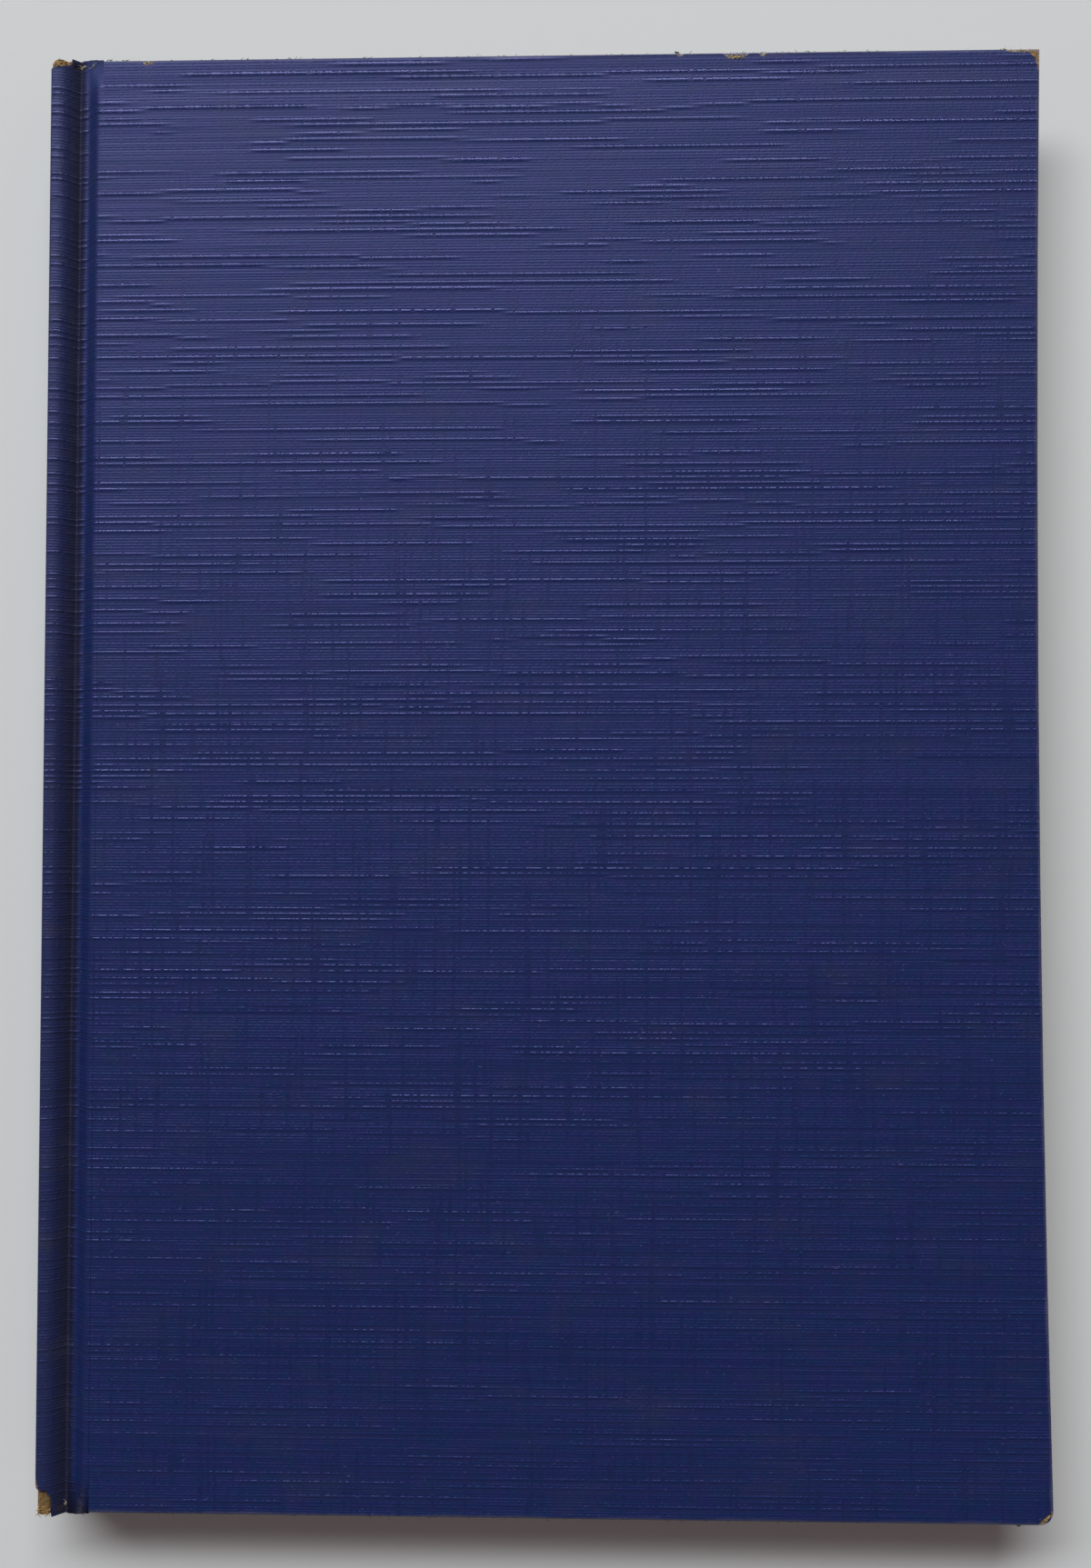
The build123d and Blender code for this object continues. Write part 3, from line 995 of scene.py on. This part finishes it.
def fray_spine_head(straw, tan, dark):
    """Torn card under the edge of the worn cloth, with dark fray beside it."""
    make_fibres("head_card_fibres", tan, "book_block", "head", (
        Bunch((1.2, 0.45), (0.35, 0.25), 16, turn=-50, fan=18, length=0.9, width=0.12, sink=0.3),
        Bunch((2.0, 0.1), (0.7, 0.25), 26, turn=-20, fan=20, length=1.0, width=0.12, sink=0.28),
        Bunch((3.0, 0.0), (0.5, 0.2), 18, turn=0, fan=25, length=0.9, width=0.11, sink=0.28, lift=0.15),
    ), seed=3)
    make_fibres("head_dark_fibres", dark, "book_block", "head", (
        Bunch((3.7, 0.1), (0.5, 0.3), 26, turn=-40, fan=45, length=0.8, width=0.12, sink=0.0, lift=0.1),
        Bunch((1.0, 1.2), (0.5, 0.2), 10, turn=-60, fan=30, length=0.5, width=0.09, sink=0.05),
        Bunch((2.4, 0.7), (0.7, 0.12), 14, turn=-80, fan=35, length=0.45, width=0.09, sink=0.05),
    ), seed=4)
    make_fibres("head_straw_fibres", straw, "book_block", "head", (
        Bunch((2.2, 0.35), (1.2, 0.4), 12, turn=-25, fan=30, length=0.8, width=0.08, sink=0.2, lift=0.1),
        Bunch((4.7, 0.0), (0.3, 0.12), 9, turn=152, fan=16, length=1.0, width=0.09, sink=-0.05, lift=0.15),
    ), seed=5)


def fray_spine_tail(straw, tan, dark):
    """The same at the tail, with dark fray along the worn edge beside the roll."""
    make_fibres("tail_card_fibres", tan, "book_block", "tail", (
        Bunch((1.6, 0.2), (0.6, 0.5), 20, turn=-75, fan=25, length=0.9, width=0.12, sink=0.3),
        Bunch((2.4, -0.1), (0.4, 0.35), 16, turn=-80, fan=30, length=0.8, width=0.12, sink=0.3),
    ), seed=6)
    make_fibres("tail_dark_fibres", dark, "book_block", "tail", (
        Bunch((3.8, 0.0), (0.6, 0.3), 26, turn=-70, fan=40, length=0.7, width=0.12, sink=0.0, lift=0.05),
        Bunch((1.9, 3.0), (0.5, 0.2), 12, turn=-80, fan=35, length=0.5, width=0.09, sink=0.05),
        Bunch((2.75, 1.4), (0.15, 0.9), 12, turn=-150, fan=35, length=0.45, width=0.09, sink=0.05),
    ), seed=7)
    make_fibres("tail_straw_fibres", straw, "book_block", "tail", (
        Bunch((4.3, 0.25), (0.15, 0.2), 5, turn=110, fan=20, length=0.8, width=0.08, sink=-0.05, lift=0.15),
    ), seed=8)


def fray_cover(straw, tan, dark):
    """Bare spots along the head edge, loose strands by the joint, and the corners."""
    width = (front_high.x - spine_low.x) / MM
    make_fibres("cover_head_fibres", straw, "front_cover", "head", (
        Bunch((13.3, 0.4), (1.1, 0.22), 46, turn=0, fan=60, length=0.5, width=0.11, sink=0.15),
        Bunch((84.2, 0.3), (0.6, 0.15), 22, turn=0, fan=60, length=0.45, width=0.11, sink=0.12),
        Bunch((91.6, 0.5), (1.7, 0.25), 60, turn=0, fan=50, length=0.6, width=0.1, sink=0.2),
        Bunch((95.1, 0.35), (0.5, 0.2), 22, turn=0, fan=60, length=0.45, width=0.11, sink=0.12),
        Bunch((6.4, 0.1), (0.3, 0.1), 6, turn=165, fan=20, length=1.0, width=0.09, sink=0.0, lift=0.05),
        Bunch((width - 3.0, 0.3), (1.6, 0.15), 44, turn=0, fan=30, length=0.6, width=0.1, sink=0.2),
        Bunch((width - 4.8, 0.1), (0.5, 0.1), 8, turn=180, fan=30, length=0.6, width=0.09, sink=0.1),
    ), seed=9)
    make_fibres("cover_corner_fibres", tan, "front_cover", "head", (
        Bunch((91.6, 0.6), (1.2, 0.2), 16, turn=0, fan=50, length=0.5, width=0.1, sink=0.22),
        Bunch((width - 0.85, 0.75), (0.35, 0.35), 26, turn=50, fan=40, length=0.6, width=0.11, sink=0.22),
        Bunch((width - 0.45, 1.7), (0.12, 0.6), 16, turn=90, fan=25, length=0.6, width=0.09, sink=0.2),
    ), seed=10)
    make_fibres("tail_corner_fibres", tan, "front_cover", "tail", (
        Bunch((width - 1.0, 0.85), (0.35, 0.35), 22, turn=130, fan=35, length=0.6, width=0.11, sink=0.22),
    ), seed=11)
    make_fibres("cover_dark_fibres", dark, "front_cover", "head", (
        Bunch((83.7, 0.0), (0.3, 0.08), 14, turn=-60, fan=50, length=0.35, width=0.12, sink=0.1),
        Bunch((9.0, 0.05), (2.0, 0.06), 12, turn=0, fan=30, length=0.6, width=0.08, sink=0.1),
        Bunch((60.0, 0.04), (50.0, 0.05), 60, turn=0, fan=25, length=0.6, width=0.07, sink=0.12),
    ), seed=12)
    make_fibres("cover_tail_fibres", dark, "front_cover", "tail", (
        Bunch((width - 4.4, 0.0), (0.2, 0.08), 9, turn=-90, fan=30, length=0.4, width=0.12, sink=0.3),
        Bunch((6.6, 0.2), (0.5, 0.25), 14, turn=-40, fan=45, length=0.6, width=0.1, sink=0.1),
        Bunch((60.0, 0.04), (50.0, 0.05), 40, turn=0, fan=25, length=0.6, width=0.07, sink=0.12),
    ), seed=13)


def make_fray():
    straw = frayed_thread("straw fibres", *STRAW_FIBRES)
    tan = frayed_thread("torn card fibres", *CARD_FIBRES)
    dark = frayed_thread("frayed blue cloth", *BLUE_FIBRES)
    for fray in (fray_spine_head, fray_spine_tail, fray_cover):
        fray(straw, tan, dark)


# Floor and light. The window's direction from the book, its distance and its size are fitted
# to the book's shadow.

FLOOR_SIZE = 2.6
WINDOW_TURN = math.radians(15)
WINDOW_RISE = math.radians(43)
WINDOW_DISTANCE = 3.0
WINDOW_SIZE = (3.3, 0.85)
WINDOW_POWER = 114.5
WINDOW_TINT = (0.95, 1.0, 1.0)
ROOM_STRENGTH = 0.15
ROOM_TINT = (1.0, 0.8, 0.8, 1)
WALL_PALE = linear(205, 206, 207)


def make_floor():
    bpy.ops.mesh.primitive_plane_add(size=FLOOR_SIZE, location=(0, 0, cad_box[0].z))
    floor = bpy.context.object
    floor.name = "floor"
    dress(floor, floor_paper("floor paper"))


def make_window():
    """One wide soft light from beyond the book's head, aimed at the book."""
    data = bpy.data.lights.new("window", "AREA")
    data.shape = "RECTANGLE"
    data.size, data.size_y = WINDOW_SIZE
    data.energy = WINDOW_POWER
    data.color = WINDOW_TINT
    level = WINDOW_DISTANCE * math.cos(WINDOW_RISE)
    light = bpy.data.objects.new("window", data)
    light.location = (
        -level * math.sin(WINDOW_TURN),
        level * math.cos(WINDOW_TURN),
        WINDOW_DISTANCE * math.sin(WINDOW_RISE),
    )
    light.rotation_euler = (-light.location).to_track_quat("-Z", "Y").to_euler()
    bpy.context.scene.collection.objects.link(light)


def make_room():
    """Faint light from all round."""
    world = bpy.data.worlds.new("room")
    world.use_nodes = True
    tree = world.node_tree
    light = tree.nodes["Background"]
    light.inputs["Color"].default_value = ROOM_TINT
    light.inputs["Strength"].default_value = ROOM_STRENGTH
    # what the camera sees beyond the floor is as pale as the floor, and lights nothing
    wall = tree.nodes.new("ShaderNodeBackground")
    wall.inputs["Color"].default_value = WALL_PALE
    seen = tree.nodes.new("ShaderNodeLightPath")
    choice = tree.nodes.new("ShaderNodeMixShader")
    tree.links.new(seen.outputs["Is Camera Ray"], choice.inputs[0])
    tree.links.new(light.outputs[0], choice.inputs[1])
    tree.links.new(wall.outputs[0], choice.inputs[2])
    tree.links.new(choice.outputs[0], tree.nodes["World Output"].inputs["Surface"])
    bpy.context.scene.world = world
    bpy.context.scene.view_settings.view_transform = "Standard"


make_camera()
dress_frame()
make_joints()
make_pages()
make_fray()
make_floor()
make_window()
make_room()
